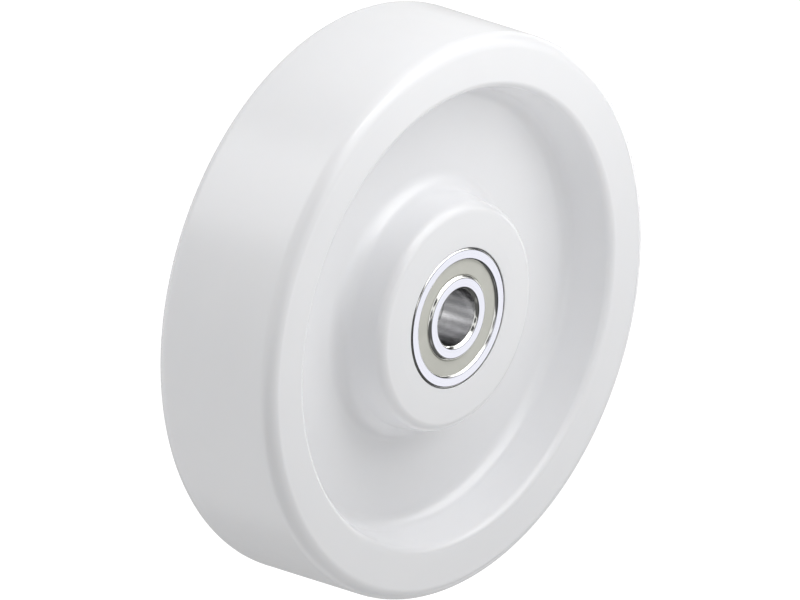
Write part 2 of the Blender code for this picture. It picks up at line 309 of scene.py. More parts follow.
# Where each glow comes from, how wide it is and how soft its edge, both in degrees, and its tone
GLOWS = {
    "from the left, low": ((0.0, -0.80, -0.60), 50.0, 40.0, 1.77),
    "from above, low": ((-0.80, 0.0, -0.60), 50.0, 40.0, 0.64),
    "from above": ((-0.90, 0.0, 0.45), 40.0, 32.0, 1.29),
    "from behind, low": ((0.0, 0.80, -0.60), 50.0, 40.0, 0.64),
    "along the axle": ((0.0, 0.0, 1.0), 50.0, 40.0, 0.17),
    "from below": ((0.90, 0.0, 0.40), 50.0, 40.0, 0.37),
    "from below, right": ((0.60, 0.60, 0.50), 45.0, 36.0, 1.18),
    "from below, left": ((0.60, -0.60, 0.50), 45.0, 36.0, 0.64),
}

lit = ROOM_TONE
for toward, angle, soft, tone in GLOWS.values():
    lit = sum_of(room, "MULTIPLY_ADD", inside_card(toward, angle, soft), tone, lit)
by_mirror = node(room, "ShaderNodeLightPath").outputs["Is Glossy Ray"]
seen = node(room, "ShaderNodeMix", {"Factor": by_mirror, "A": lit, "B": mirrored}).outputs["Result"]
put(room, room.nodes["Background"].inputs["Color"], seen)
print(len(GLOWS), "glows in a room of tone", ROOM_TONE)

# %% [markdown]
# Soft boxes
#
# The world's light comes from infinitely far, so it lights all of a flat face alike. In the photograph the
# rim's face and the web fade from one side to the other, which tells of lamps close by. A point lamp would
# do it with hard edges. A few large square lamps above the picture do it softly.

# %% Hang the soft boxes
# Each box's place, how wide it is, and its power in watts
SOFT_BOXES = {
    "box_left": ((-0.24, -0.12, 0.22), 0.22, 0.23),
    "box_far_left": ((-0.30, -0.20, 0.20), 0.10, 0.10),
    "box_right": ((-0.22, 0.16, 0.24), 0.22, 0.13),
    "box_above": ((-0.16, 0.00, 0.34), 0.22, 0.14),
    "box_low": ((-0.30, 0.00, 0.10), 0.22, 0.10),
}

for box_name, (place, size, power) in SOFT_BOXES.items():
    lamp = bpy.data.lights.new(box_name, "AREA")
    lamp.size = size
    lamp.energy = power
    box = new_object(box_name, lamp)
    box.location = place
    box.rotation_mode = "QUATERNION"
    box.rotation_quaternion = Vector(place).to_track_quat("Z", "Y")
    box.visible_camera = False
bpy.context.scene.view_settings.view_transform = "Standard"
print(len(SOFT_BOXES), "soft boxes")

# %% [markdown]
# Fine marks that several finishes share
#
# A mould leaves a faint grain, a lathe or a grinding wheel leaves rings, and every batch of plastic or
# steel has a slight drift in tone. An image could hold such marks, but it would blur close by. Each is a
# shader group instead, built once and placed in several materials with other values. The groups read object
# coordinates, so the marks stay where they are on the piece when it turns.

# %% Shader group helpers
def shader_group(name, inputs, outputs):
    """An empty shader group with named number inputs, and outputs that are numbers too."""
    group = bpy.data.node_groups.new(name, "ShaderNodeTree")
    add_sockets(group, "INPUT", "Float", inputs)
    add_sockets(group, "OUTPUT", "Float", outputs)
    return group, node(group, "NodeGroupInput").outputs, node(group, "NodeGroupOutput").inputs


def spot_on_piece(tree):
    """Where a point lies on its piece."""
    return node(tree, "ShaderNodeTexCoord").outputs["Object"]


def round_the_axle(tree):
    """The three parts of where a point lies on its piece, and how far it is from the axle."""
    parts = node(tree, "ShaderNodeSeparateXYZ", {0: spot_on_piece(tree)}).outputs
    across = sum_of(tree, "MULTIPLY", parts["X"], parts["X"])
    return parts, sum_of(tree, "SQRT", sum_of(tree, "MULTIPLY_ADD", parts["Y"], parts["Y"], across))


def noise(tree, inputs, **options):
    """A noise between nought and one."""
    return node(tree, "ShaderNodeTexNoise", inputs, **options).outputs["Fac"]


# %% [markdown]
# Turned rings
#
# A lathe's tool and a grinding wheel both leave fine rings round the axle. A noise that runs along one line
# makes them, when that line is the distance from the axle. Adding a share of the height keeps the rings
# going on a face that runs along the axle, and a second noise makes them wander, so that they don't look
# drawn.

# %% Make the turned rings
HEIGHT_SHARE = 0.73
SLOW_SHARE = 0.12


def turned_rings():
    """Rings round the axle, as a tool leaves them: fine lines in height, and a slow change in tone."""
    given_values = {"Rings per Metre": 4000.0, "Wander": 6.0}
    group, given, result = shader_group("turned rings", given_values, ("Height", "Tone"))
    parts, radius = round_the_axle(group)
    slope = sum_of(group, "MULTIPLY_ADD", parts["Z"], HEIGHT_SHARE, radius)
    swing = noise(group, {"Vector": spot_on_piece(group), "Scale": 60.0, "Detail": 2.0})
    counted = sum_of(group, "MULTIPLY", slope, given["Rings per Metre"])
    wandered = sum_of(group, "MULTIPLY_ADD", swing, given["Wander"], counted)
    slow = sum_of(group, "MULTIPLY", wandered, SLOW_SHARE)
    for label, along, detail in (("Height", wandered, 3.0), ("Tone", slow, 2.0)):
        lines = noise(group, {"W": along, "Scale": 1.0, "Detail": detail}, noise_dimensions="1D")
        put(group, result[label], lines)
    return group


RINGS = turned_rings()
print("shader group:", RINGS.name)

# %% [markdown]
# Mould grain
#
# A mould's skin is faintly pebbled, and the material under it is slightly mottled. Two noises of very
# different size make the two, so each material can use the first for its relief and the second for its
# tone.

# %% Make the mould grain
def mould_grain():
    """The faint pebbling that a mould leaves, and the slow mottle of the material under it."""
    group, given, result = shader_group(
        "mould grain", {"Grains per Metre": 900.0, "Patches per Metre": 28.0}, ("Height", "Mottle")
    )
    spot = spot_on_piece(group)
    grain = {"Vector": spot, "Scale": given["Grains per Metre"], "Detail": 3.0}
    patches = {"Vector": spot, "Scale": given["Patches per Metre"], "Detail": 4.0, "Distortion": 0.6}
    put(group, result["Height"], noise(group, grain))
    put(group, result["Mottle"], noise(group, patches))
    return group


GRAIN = mould_grain()
print("shader group:", GRAIN.name)

# %% [markdown]
# Finishes
#
# The groups add to a material what changes over its surface: the tone, the roughness and the fine relief. A
# noise stays near its middle, so its middle part is spread over the whole range between two tones.

# %% Material helpers
NOISE_LOW = 0.3
NOISE_HIGH = 0.7


def ramp(tree, value, start, end, low=0.0, high=1.0):
    """A number that runs from low to high as value runs from start to end, and no further."""
    spread = {"Value": value, "From Min": start, "From Max": end, "To Min": low, "To Max": high}
    return node(tree, "ShaderNodeMapRange", spread).outputs["Result"]


def blend(tree, share, first, second):
    """A colour that runs from the first to the second. Each is a colour or another node's output."""
    mixed = node(tree, "ShaderNodeMix", {"Factor": share}, data_type="RGBA")
    for socket, colour in (("A", first), ("B", second)):
        put(tree, mixed.inputs[socket], (*colour, 1.0) if isinstance(colour, tuple) else colour)
    return mixed.outputs["Result"]


def between(tree, share, low, high):
    """A number or a colour that runs from low to high as share runs over the middle of a noise."""
    if isinstance(low, tuple):
        return blend(tree, ramp(tree, share, NOISE_LOW, NOISE_HIGH), low, high)
    return ramp(tree, share, NOISE_LOW, NOISE_HIGH, low, high)


def relief(tree, shader, height, depth):
    """Turns a height into fine relief of a real depth."""
    bump = node(tree, "ShaderNodeBump", {"Height": height, "Distance": depth, "Strength": 1.0})
    put(tree, shader.inputs["Normal"], bump.outputs["Normal"])


def weathered(tree, shader, drift, tones, roughness, height, depth):
    """Lets the tone and the roughness follow one noise, and makes relief of another."""
    put(tree, shader.inputs["Base Color"], between(tree, drift, *tones))
    put(tree, shader.inputs["Roughness"], between(tree, drift, *roughness))
    relief(tree, shader, height, depth)


# %% [markdown]
# Nylon
#
# The wheel is moulded from white nylon, smooth enough that bright light leaves soft-edged bands on its
# rounds. It could be plain white with a coat over it, but that looks like enamel. Light goes a little way
# into nylon, which softens its shadows, and its tone drifts by a hundredth or so, which the eye reads as
# solid plastic.

# %% Make the nylon
NYLON_TONES = ((0.850, 0.854, 0.871), (0.870, 0.874, 0.889))
NYLON_ROUGHNESS = (0.21, 0.26)
NYLON_GRAIN = 0.004 * MM
SCATTER_DEPTH = 2.0 * MM
SCATTER_SHARES = (1.0, 0.9, 0.8)


def nylon_finish():
    made, tree, shader = finish(
        "white_nylon", Subsurface_Weight=0.12, Subsurface_Scale=SCATTER_DEPTH, Specular_IOR_Level=0.5
    )
    shader.inputs["Subsurface Radius"].default_value = SCATTER_SHARES
    marks = group_in(tree, GRAIN, Grains_per_Metre=700.0, Patches_per_Metre=22.0)
    weathered(tree, shader, marks["Mottle"], NYLON_TONES, NYLON_ROUGHNESS, marks["Height"], NYLON_GRAIN)
    return made


NYLON = nylon_finish()
print("finish:", NYLON.name)

# %% [markdown]
# Steels
#
# The balls are polished, the spacer tube is turned and duller, and the cages are pressed from strip, which
# is duller still. They could be one steel with three colours, but what tells them apart is how sharply they
# mirror the room. So one recipe makes all three, each with its own tones, roughness, rings and depth of the
# rings.

# %% Make the steels
def steel_finish(name, tones, roughness, rings, depth):
    made, tree, shader = finish(name, Metallic=1.0)
    marks = group_in(tree, RINGS, Rings_per_Metre=rings)
    weathered(tree, shader, marks["Tone"], tones, roughness, marks["Height"], depth)
    return made


BALL_STEEL = steel_finish(
    "polished_ball_steel", tones=((0.84, 0.84, 0.86), (0.88, 0.88, 0.90)), roughness=(0.05, 0.08),
    rings=4000.0, depth=0.0001 * MM,
)
TURNED_STEEL = steel_finish(
    "turned_tube_steel", tones=((0.78, 0.78, 0.80), (0.86, 0.86, 0.88)), roughness=(0.22, 0.30),
    rings=5000.0, depth=0.006 * MM,
)
CAGE_STEEL = steel_finish(
    "pressed_cage_steel", tones=((0.52, 0.50, 0.46), (0.62, 0.60, 0.56)), roughness=(0.30, 0.42),
    rings=1500.0, depth=0.003 * MM,
)
print("finishes:", BALL_STEEL.name, TURNED_STEEL.name, CAGE_STEEL.name)

# %% [markdown]
# Streaks in the bore
#
# The bore is honed, and its tone has streaks along it, partly drag marks from axles and partly painted
# reflection. It is painted lighter on two opposite sides and darker between them, as painted light and shade.
# Only the angle round the axle counts, so the streaks come from a wave in that angle. A noise moves each
# crest a little. It reads a circle and not the angle, because an angle jumps where it closes on itself and
# would leave a seam.

# %% Make the streaks
# The bore's tone: painted shade between its two lit sides, and how much painted light those sides get
PAINTED_SHADE_TONE = 0.50
PAINTED_LIGHT_MORE = 0.43
TROUGH_SHARE = 0.79
CREST_MORE = 0.28


def bore_streaks():
    """Streaks along the axle, part wear and part painted reflection, with painted light and shade round it.
    """
    group, given, result = shader_group("bore streaks and painted shade", {"Streaks": 18.0, "Wander": 1.6}, ("Tone",))
    parts, radius = round_the_axle(group)
    aside = sum_of(group, "DIVIDE", parts["Y"], radius)
    ahead = sum_of(group, "DIVIDE", parts["X"], radius)
    drift = noise(group, {"Vector": vector(group, X=ahead, Y=aside), "Scale": 4.0, "Detail": 3.0})
    swing = sum_of(group, "SUBTRACT", drift, 0.5)
    angle = sum_of(group, "ARCTAN2", parts["Y"], parts["X"])
    counted = sum_of(group, "MULTIPLY", angle, given["Streaks"])
    wandered = sum_of(group, "MULTIPLY_ADD", swing, given["Wander"], counted)
    wave = sum_of(group, "MULTIPLY_ADD", sum_of(group, "COSINE", wandered), -0.5, 0.5)
    streaked = sum_of(group, "MULTIPLY_ADD", wave, CREST_MORE, TROUGH_SHARE)
    # Painted light on the two sides along Y, painted shade towards X
    painted_lit_share = sum_of(group, "MULTIPLY", aside, aside)
    bright = sum_of(group, "MULTIPLY_ADD", painted_lit_share, PAINTED_LIGHT_MORE, PAINTED_SHADE_TONE)
    put(group, result["Tone"], sum_of(group, "MULTIPLY", bright, streaked))
    return group


STREAKS_AND_SHADE = bore_streaks()
print("shader group:", STREAKS_AND_SHADE.name)

# %% [markdown]
# Bands round the axle
#
# The bearing's rings have ground flat faces between turned bevels. A thin line of painted shade edges each
# face, and another, a painted shadow, lies in the gap beside the hub's lip. Their meshes could be cut into
# parts with a material each. A band is simpler, because each part has its own distance from the axle: a
# shader group says whether a point is in one band, and the largest answer wins.

# %% Make the bands
BORE_RADIUS = 10.0 * MM
# How far each band's middle is from the axle, and half its width
GROUND_FACES = {
    "inner ring's face": (12.55 * MM, 1.56 * MM),
    "outer ring's face": (22.57 * MM, 1.57 * MM),
}
# Thin lines of painted shade at the faces' edges, and a painted shadow in the gap beside the hub's lip
EDGE_SHADE_LINES = {
    "inner ring's face, inside": (10.98 * MM, 0.08 * MM),
    "inner ring's face, outside": (14.14 * MM, 0.08 * MM),
    "outer ring's face, inside": (20.98 * MM, 0.08 * MM),
    "outer ring's face, outside": (24.16 * MM, 0.08 * MM),
    "beside the hub's lip": (24.68 * MM, 0.16 * MM),
}


def band_round():
    """A band round the axle at one radius: one within it and nought outside."""
    group, given, result = shader_group(
        "band round the axle", {"Radius": BORE_RADIUS, "Half Width": 0.08 * MM, "Soft": 0.02 * MM}, ("Band",)
    )
    radius = round_the_axle(group)[1]
    away = sum_of(group, "ABSOLUTE", sum_of(group, "SUBTRACT", radius, given["Radius"]))
    inside = sum_of(group, "SUBTRACT", given["Half Width"], away)
    share = sum_of(group, "DIVIDE", inside, given["Soft"])
    put(group, result["Band"], ramp(group, share, -1.0, 1.0))
    return group


BAND = band_round()


def any_band(tree, places):
    """One inside any of the bands, and nought outside them all."""
    total = 0.0
    for place, half in places.values():
        band = group_in(tree, BAND, Radius=place, Half_Width=half)["Band"]
        total = sum_of(tree, "MAXIMUM", total, band)
    return total


print("bands:", ", ".join([*GROUND_FACES, *EDGE_SHADE_LINES]))

# %% [markdown]
# The rings' steel
#
# The rings are hardened steel. Their ground faces mirror sharply and a little blue, their bevels are
# plainer, and the bore is duller, with deeper marks. Its inner end, where the ring meets the spacer, is
# painted dark as shade in the groove there. All of that is one material, because the rings are one piece of
# steel each.

# %% Make the rings' steel
GROUND_TONES = ((0.800, 0.806, 0.885), (0.815, 0.821, 0.902))
BEVEL_TONE = (0.85, 0.85, 0.825)
# The tone of the painted shade lines
EDGE_SHADE_TONE = (0.15, 0.15, 0.16)
GROUND_ROUGHNESS = 0.12
BORE_ROUGHNESS = 0.24
GROUND_MARKS = 0.0002
BORE_MARKS = 0.008
# The bore's inner end is painted dark, as shade in the groove where the ring meets the spacer
SEAM_HEIGHT = BEARING_HEIGHT - HALF_BEARING + 0.30 * MM
SEAM_SHADE_FADE = 0.10 * MM
SEAM_SHADE_TONE = 0.15


def ring_finish():
    made, tree, shader = finish("ground_bearing_steel", Metallic=1.0)
    parts, radius = round_the_axle(tree)
    in_bore = ramp(tree, radius, BORE_RADIUS + 0.15 * MM, BORE_RADIUS + 0.05 * MM)
    height = sum_of(tree, "ABSOLUTE", parts["Z"])
    # Painted shade at the bore's inner end
    seam_shade = ramp(tree, height, SEAM_HEIGHT, SEAM_HEIGHT + SEAM_SHADE_FADE, SEAM_SHADE_TONE, 1.0)
    marks = group_in(tree, RINGS, Rings_per_Metre=9000.0)
    ground = between(tree, marks["Tone"], *GROUND_TONES)
    faced = blend(tree, any_band(tree, GROUND_FACES), BEVEL_TONE, ground)
    # Thin lines of painted shade at the faces' edges and beside the hub's lip
    edge_shaded = blend(tree, any_band(tree, EDGE_SHADE_LINES), faced, EDGE_SHADE_TONE)
    # The bore's streaks, partly painted reflection, with painted light and shade, and the painted shade at
    # its end
    streaked = sum_of(tree, "MULTIPLY", group_in(tree, STREAKS_AND_SHADE)["Tone"], seam_shade)
    put(tree, shader.inputs["Base Color"], blend(tree, in_bore, edge_shaded, streaked))
    put(tree, shader.inputs["Roughness"], ramp(tree, in_bore, 0.0, 1.0, GROUND_ROUGHNESS, BORE_ROUGHNESS))
    depth = ramp(tree, in_bore, 0.0, 1.0, GROUND_MARKS, BORE_MARKS)
    relief(tree, shader, sum_of(tree, "MULTIPLY", marks["Height"], depth), MM)
    return made


RING_STEEL = ring_finish()
print("finish:", RING_STEEL.name)

# %% [markdown]
# Seal rubber
#
# The flat seals are a warm grey and quite matt. The nylon's mould grain serves here too, only finer and
# deeper.

# %% Make the seal rubber
RUBBER_TONES = ((0.575, 0.575, 0.525), (0.605, 0.605, 0.555))
RUBBER_ROUGHNESS = (0.50, 0.62)
RUBBER_GRAIN = 0.006 * MM


def rubber_finish():
    made, tree, shader = finish("seal_rubber", Specular_IOR_Level=0.35)
    marks = group_in(tree, GRAIN, Grains_per_Metre=2600.0, Patches_per_Metre=180.0)
    weathered(tree, shader, marks["Mottle"], RUBBER_TONES, RUBBER_ROUGHNESS, marks["Height"], RUBBER_GRAIN)
    return made


RUBBER = rubber_finish()
print("finish:", RUBBER.name)

# %% [markdown]
# Turned pieces
#
# The wheel, the bearing's rings, the seals and the spacer are all solids of revolution: one section, swept
# once round the axle. A Screw modifier could do it from a drawn outline. A geometry tree is a better
# lesson, because every size is a named input: it places the section's corners from those sizes, rounds
# them, and sweeps them round a circle.
#
# A corner is written as three sums of named sizes: its radius, its height and its rounding. A piece that is
# the same above and below its middle lists only its upper corners and those on its middle, and the tree
# mirrors the rest.

# %% Sums of named sizes
def added(tree, given, words):
    """A socket for a sum such as "Wheel Radius - Rim Thickness". An empty sum is nought."""
    total = 0.0
    for word in words.replace(" - ", " + -").split(" + ") if words else ():
        change = "SUBTRACT" if word.startswith("-") else "ADD"
        total = sum_of(tree, change, total, given[word.lstrip("-")])
    return total


def by_index(tree, kind, values):
    """A field that gives each point of a line its own value."""
    switch = node(tree, "GeometryNodeIndexSwitch", data_type=kind)
    while len(switch.index_switch_items) < len(values):
        switch.index_switch_items.new()
    put(tree, switch.inputs["Index"], node(tree, "GeometryNodeInputIndex").outputs[0])
    for slot, value in enumerate(values):
        put(tree, switch.inputs[slot + 1], value)
    return switch.outputs[0]


# %% [markdown]
# How every tree starts and ends
#
# Each tree has a named input for each size, so another wheel needs only other numbers. Each ends the same
# way: it smooths all but the sharp edges, puts the piece at its height and gives it its material. The rings
# and seals lie at both ends of the hub, so a piece can also be turned over.

# %% Start and end a tree
SHARP_EDGE = radians(28.0)
MERGE = 0.001 * MM


def new_tree(name, sizes, counts):
    """An empty geometry tree with one named input for each size and count."""
    tree = bpy.data.node_groups.new(name, "GeometryNodeTree")
    add_sockets(tree, "INPUT", "Float", {**sizes, "Height": 0.0, "Turn Over": 0.0})
    add_sockets(tree, "INPUT", "Int", counts)
    add_sockets(tree, "INPUT", "Material", ["Material"])
    add_sockets(tree, "OUTPUT", "Geometry", ["Mesh"])
    return tree, node(tree, "NodeGroupInput").outputs


def end_tree(tree, given, shape):
    """Smooths all but the sharp edges, puts the piece in its place and dresses it."""
    closed = node(tree, "GeometryNodeMergeByDistance", {"Geometry": shape, "Distance": MERGE})
    bend = node(tree, "GeometryNodeInputMeshEdgeAngle").outputs["Unsigned Angle"]
    crisp = node(tree, "FunctionNodeCompare", {"A": bend, "B": SHARP_EDGE}, operation="GREATER_THAN")
    shaded = node(
        tree, "GeometryNodeSetShadeSmooth",
        {"Geometry": closed.outputs[0], "Selection": crisp.outputs[0], "Shade Smooth": False},
        domain="EDGE",
    )
    over = vector(tree, X=given["Turn Over"])
    raised = vector(tree, Z=given["Height"])
    moved = node(
        tree, "GeometryNodeTransform",
        {"Geometry": shaded.outputs[0], "Rotation": over, "Translation": raised},
    )
    real = node(tree, "GeometryNodeRealizeInstances", {0: moved.outputs[0]}).outputs[0]
    dressed = node(tree, "GeometryNodeSetMaterial", {"Geometry": real, "Material": given["Material"]})
    put(tree, node(tree, "NodeGroupOutput").inputs["Mesh"], dressed.outputs[0])
    return tree


# %% [markdown]
# The tree that turns a section
#
# A field gives each point of a plain line its own place, which draws the section, and another gives each
# corner its own round. The section then follows a circle. The circle's radius is taken off each point's
# distance first, so any circle will do.

# %% Turn a section
SWEEP_RADIUS = 50.0 * MM


def drawn_line(tree, count, place, cyclic):
    """A line of so many points, each put where a field says."""
    line = node(tree, "GeometryNodeMeshLine", {"Count": count})
    drawn = node(tree, "GeometryNodeMeshToCurve", {"Mesh": line.outputs[0]})
    closed = node(tree, "GeometryNodeSetSplineCyclic", {"Geometry": drawn.outputs[0], "Cyclic": cyclic})
    placed = node(tree, "GeometryNodeSetPosition", {"Geometry": closed.outputs[0], "Position": place})
    return placed.outputs[0]


def rounded(tree, line, radius, steps):
    """The same line with its corners rounded."""
    sizes = {"Curve": line, "Radius": radius, "Count": steps, "Limit Radius": True}
    return node(tree, "GeometryNodeFilletCurve", sizes, mode="POLY").outputs[0]


def section_tree(name, sizes, corners, mirrored=True, bored=True, steps=192):
    """A geometry tree that turns a section into a solid. Without a bore, the section is left open."""
    tree, given = new_tree(name, sizes, {"Turning Steps": steps, "Round Steps": 6})
    places, rounds = [], []
    for radius, height, rounding in corners:
        across = sum_of(tree, "SUBTRACT", added(tree, given, radius), SWEEP_RADIUS)
        places.append((across, added(tree, given, height)))
        rounds.append(added(tree, given, rounding))
    if mirrored:
        below = [index for index, corner in enumerate(corners) if corner[1]]
        for index in reversed(below):
            across, up = places[index]
            places.append((across, sum_of(tree, "MULTIPLY", up, -1.0)))
            rounds.append(rounds[index])
    points = []
    for across, up in places:
        points.append(vector(tree, X=across, Y=sum_of(tree, "MULTIPLY", up, -1.0)))
    outline = drawn_line(tree, len(points), by_index(tree, "VECTOR", points), bored)
    section = rounded(tree, outline, by_index(tree, "FLOAT", rounds), given["Round Steps"])
    circle = {"Resolution": given["Turning Steps"], "Radius": SWEEP_RADIUS}
    path = node(tree, "GeometryNodeCurvePrimitiveCircle", circle)
    swept = node(tree, "GeometryNodeCurveToMesh", {"Curve": path.outputs[0], "Profile Curve": section})
    return end_tree(tree, given, swept.outputs[0])


# %% [markdown]
# From a tree to a plain mesh
#
# The tree runs in a modifier, whose inputs are set by each socket's identifier. Then the result becomes a
# plain mesh and the modifiers go, because the frame and the export both need plain meshes. A Weighted
# Normal modifier comes after the tree, so that a wide flat face stays flat in the light where it meets a
# small round.

# %% Make a piece from a tree
def made_by(tree, name, body, slot, stands_for, **inputs):
    """A finished piece from a tree, with the body that it rides on and the nodes that it stands for."""
    piece = new_object(name, bpy.data.meshes.new(name))
    grown = piece.modifiers.new("tree", "NODES")
    grown.node_group = tree
    for socket in tree.interface.items_tree:
        label = socket.name.replace(" ", "_")
        if socket.in_out == "INPUT" and label in inputs:
            grown[socket.identifier] = inputs[label]
    evened = piece.modifiers.new("even normals", "WEIGHTED_NORMAL")
    evened.keep_sharp = True
    graph = bpy.context.evaluated_depsgraph_get()
    mesh = bpy.data.meshes.new_from_object(piece.evaluated_get(graph), depsgraph=graph)
    piece.modifiers.clear()
    piece.data = mesh
    mesh.name = name
    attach(piece, body)
    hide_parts(*stands_for)
    mesh.calc_loop_triangles()
    sides = [round(side / MM, 2) for side in piece.dimensions]
    print(f"{name}: {len(mesh.loop_triangles)} triangles, {sides} mm")


# %% [markdown]
# The wheel
#
# One moulding holds the tread, the rim, the web and the hub. It has no sharp edge: the tread's corners, the
# rim's lip, the foot of the recess and the hub all have their own rounds, and the walls taper so that it
# leaves its mould. Inside the hub, a bearing's seat is open to each face, with a shoulder between the two.

# %% Turn the wheel
SEAT_GAP = 0.1 * MM
BEVEL_WIDTH = 1.9 * MM
BEVEL_DEPTH = 1.4 * MM
LIP_REACH = 1.2 * MM
LIP_RISE = LIP_REACH * BEVEL_DEPTH / BEVEL_WIDTH
wheel_sizes = {
    "Wheel Radius": WHEEL_RADIUS,
    "Half Width": HALF_WIDTH,
    "Tread Round": 5.0 * MM,
    "Rim Thickness": 18.6 * MM,
    "Lip Round": 3.0 * MM,
    "Recess Taper": 3.8 * MM,
    "Recess Fillet": 5.0 * MM,
    "Half Web": 8.0 * MM,
    "Hub Wall": 14.2 * MM,
    "Hub Taper": 2.4 * MM,
    "Hub Round": 4.0 * MM,
    "Hub Fillet": 6.5 * MM,
    "Face Inset": 0.1 * MM,
    "Face Fall": 0.4 * MM,
    "Face Ring": 4.1 * MM,
    "Face Ring Round": 0.8 * MM,
    "Bearing Radius": BEARING_RADIUS,
    "Seat Radius": BEARING_RADIUS + SEAT_GAP,
    "Seat Shoulder": 3.4 * MM,
    "Seat Floor": BEARING_HEIGHT - HALF_BEARING - SEAT_GAP,
    "Seat Top": BEARING_HEIGHT + HALF_BEARING - BEVEL_DEPTH + SEAT_GAP,
    "Lip Reach": LIP_REACH,
    "Lip Rise": LIP_RISE,
    "Lip Edge": 0.28 * MM,
}
wheel_corners = (
    ("Bearing Radius - Seat Shoulder", "Seat Floor", ""),
    ("Seat Radius", "Seat Floor", ""),
    ("Seat Radius", "Seat Top", ""),
    ("Seat Radius - Lip Reach", "Seat Top + Lip Rise", ""),
    ("Seat Radius - Lip Reach", "Half Width - Face Inset", "Lip Edge"),
    ("Bearing Radius + Face Ring", "Half Width - Face Inset", "Face Ring Round"),
    ("Bearing Radius + Hub Wall", "Half Width - Face Inset - Face Fall", "Hub Round"),
    ("Bearing Radius + Hub Wall + Hub Taper", "Half Web", "Hub Fillet"),
    ("Wheel Radius - Rim Thickness - Recess Taper", "Half Web", "Recess Fillet"),
    ("Wheel Radius - Rim Thickness", "Half Width", "Lip Round"),
    ("Wheel Radius", "Half Width", "Tread Round"),
)
wheel_tree = section_tree("turned wheel", wheel_sizes, wheel_corners)
made_by(
    wheel_tree, "wheel_moulding", "wheel", "nylon", ["wheel_body"],
    Material=NYLON, Turning_Steps=256, Round_Steps=9,
)

# %% [markdown]
# The bearing's rings
#
# Both rings are turned from steel, hardened and ground. The outer one has a chamfer outside, so that it can
# be pressed into the hub, and a groove and lip inside that hold the seal. The inner one has the bore for
# the axle. Each has a ball race in its middle: an arc a little larger than the ball. A fillet makes the
# arc, when its corner is set where the arc's two end tangents meet.

# %% Turn the rings
seal_low, seal_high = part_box("front_outer_seal")
SEAL_TOP = seal_high.z - BEARING_HEIGHT
SEAL_THICKNESS = seal_high.z - seal_low.z
SEAL_GAP = 0.05 * MM
RACE_GAP = 0.12 * MM
RACE_TO_BALL = 1.04
RACE_RADIUS = BALL_RADIUS * RACE_TO_BALL
OUTER_SHOULDER = 20.705 * MM
# A fillet that would use up both of its sides is left out, so a race's is made a little smaller than that
LOOSE = 0.995
SEAM_EDGE = 0.3 * MM


def race_apex(centre, shoulder, side):
    """How far from the axle the race's end tangents meet, and how high its ends are."""
    reach = acos(side * (shoulder - centre) / RACE_RADIUS)
    return centre + side * RACE_RADIUS / cos(reach), RACE_RADIUS * sin(reach)


RACE_SHIFT = RACE_RADIUS - BALL_RADIUS - RACE_GAP
outer_apex, outer_race_end = race_apex(PITCH_RADIUS - RACE_SHIFT, OUTER_SHOULDER, 1)
inner_apex, inner_race_end = race_apex(PITCH_RADIUS + RACE_SHIFT, INNER_RING_RADIUS, -1)
outer_sizes = {
    "Apex": outer_apex,
    "Race Radius": RACE_RADIUS * LOOSE,
    "Race End": outer_race_end,
    "Shoulder": OUTER_SHOULDER,
    "Seal Groove": 0.4 * MM,
    "Groove Floor": SEAL_TOP - SEAL_THICKNESS - SEAL_GAP,
    "Groove Top": SEAL_TOP + SEAL_GAP,
    "Seal Lip": 0.45 * MM,
    "Face Setback": 0.3 * MM,
    "Half Bearing": HALF_BEARING,
    "Bearing Radius": BEARING_RADIUS,
    "Edge Width": BEVEL_WIDTH,
    "Edge Depth": BEVEL_DEPTH,
    "Lip Edge": 0.1 * MM,
    "Small Round": 0.9 * MM,
}
outer_corners = (
    ("Apex", "", "Race Radius"),
    ("Shoulder", "Race End", ""),
    ("Shoulder", "Groove Floor", ""),
    ("Shoulder + Seal Groove", "Groove Floor", ""),
    ("Shoulder + Seal Groove", "Groove Top", ""),
    ("Shoulder - Seal Lip", "Groove Top", "Lip Edge"),
    ("Shoulder + Face Setback", "Half Bearing", "Small Round"),
    ("Bearing Radius - Edge Width", "Half Bearing", "Small Round"),
    ("Bearing Radius", "Half Bearing - Edge Depth", "Small Round"),
)
outer_tree = section_tree("turned outer ring", outer_sizes, outer_corners)
inner_sizes = {
    "Apex": inner_apex,
    "Race Radius": RACE_RADIUS * LOOSE,
    "Bore Radius": BORE_RADIUS,
    "Bore Edge": 1.0 * MM,
    "Seam Edge": SEAM_EDGE,
    "Half Bearing": HALF_BEARING,
    "Ring Radius": INNER_RING_RADIUS,
    "Ring Edge": 0.8 * MM,
    "Race End": inner_race_end,
    "Small Round": 0.8 * MM,
}
inner_corners = (
    ("Bore Radius", "Half Bearing - Bore Edge", "Small Round"),
    ("Bore Radius + Bore Edge", "Half Bearing", "Small Round"),
    ("Ring Radius - Ring Edge", "Half Bearing", "Small Round"),
    ("Ring Radius", "Half Bearing - Ring Edge", "Small Round"),
    ("Ring Radius", "Race End", ""),
    ("Apex", "", "Race Radius"),
    ("Ring Radius", "-Race End", ""),
    ("Ring Radius", "Ring Edge - Half Bearing", "Small Round"),
    ("Ring Radius - Ring Edge", "-Half Bearing", "Small Round"),
    ("Bore Radius + Seam Edge", "-Half Bearing", ""),
    ("Bore Radius", "Seam Edge - Half Bearing", ""),
)
inner_tree = section_tree("turned inner ring", inner_sizes, inner_corners, mirrored=False)
SIDES = {"front": (BEARING_HEIGHT, 0.0), "rear": (-BEARING_HEIGHT, pi)}
for side, (height, over) in SIDES.items():
    for place, tree, body in (("outer", outer_tree, "wheel"), ("inner", inner_tree, "axle_sleeve")):
        made_by(
            tree, f"{side}_{place}_race", body, "bearing_steel", [f"{side}_{place}_ring"],
            Material=RING_STEEL, Height=height, Turn_Over=over, Round_Steps=4,
        )

# %% [markdown]
# Seals and spacer
#
# A seal is a flat ring that snaps into the outer ring, with a thin lip that runs just clear of the inner
# one. Each bearing has two. The spacer tube keeps the two inner rings apart, and its ends show as a thin
# seam in the bore.

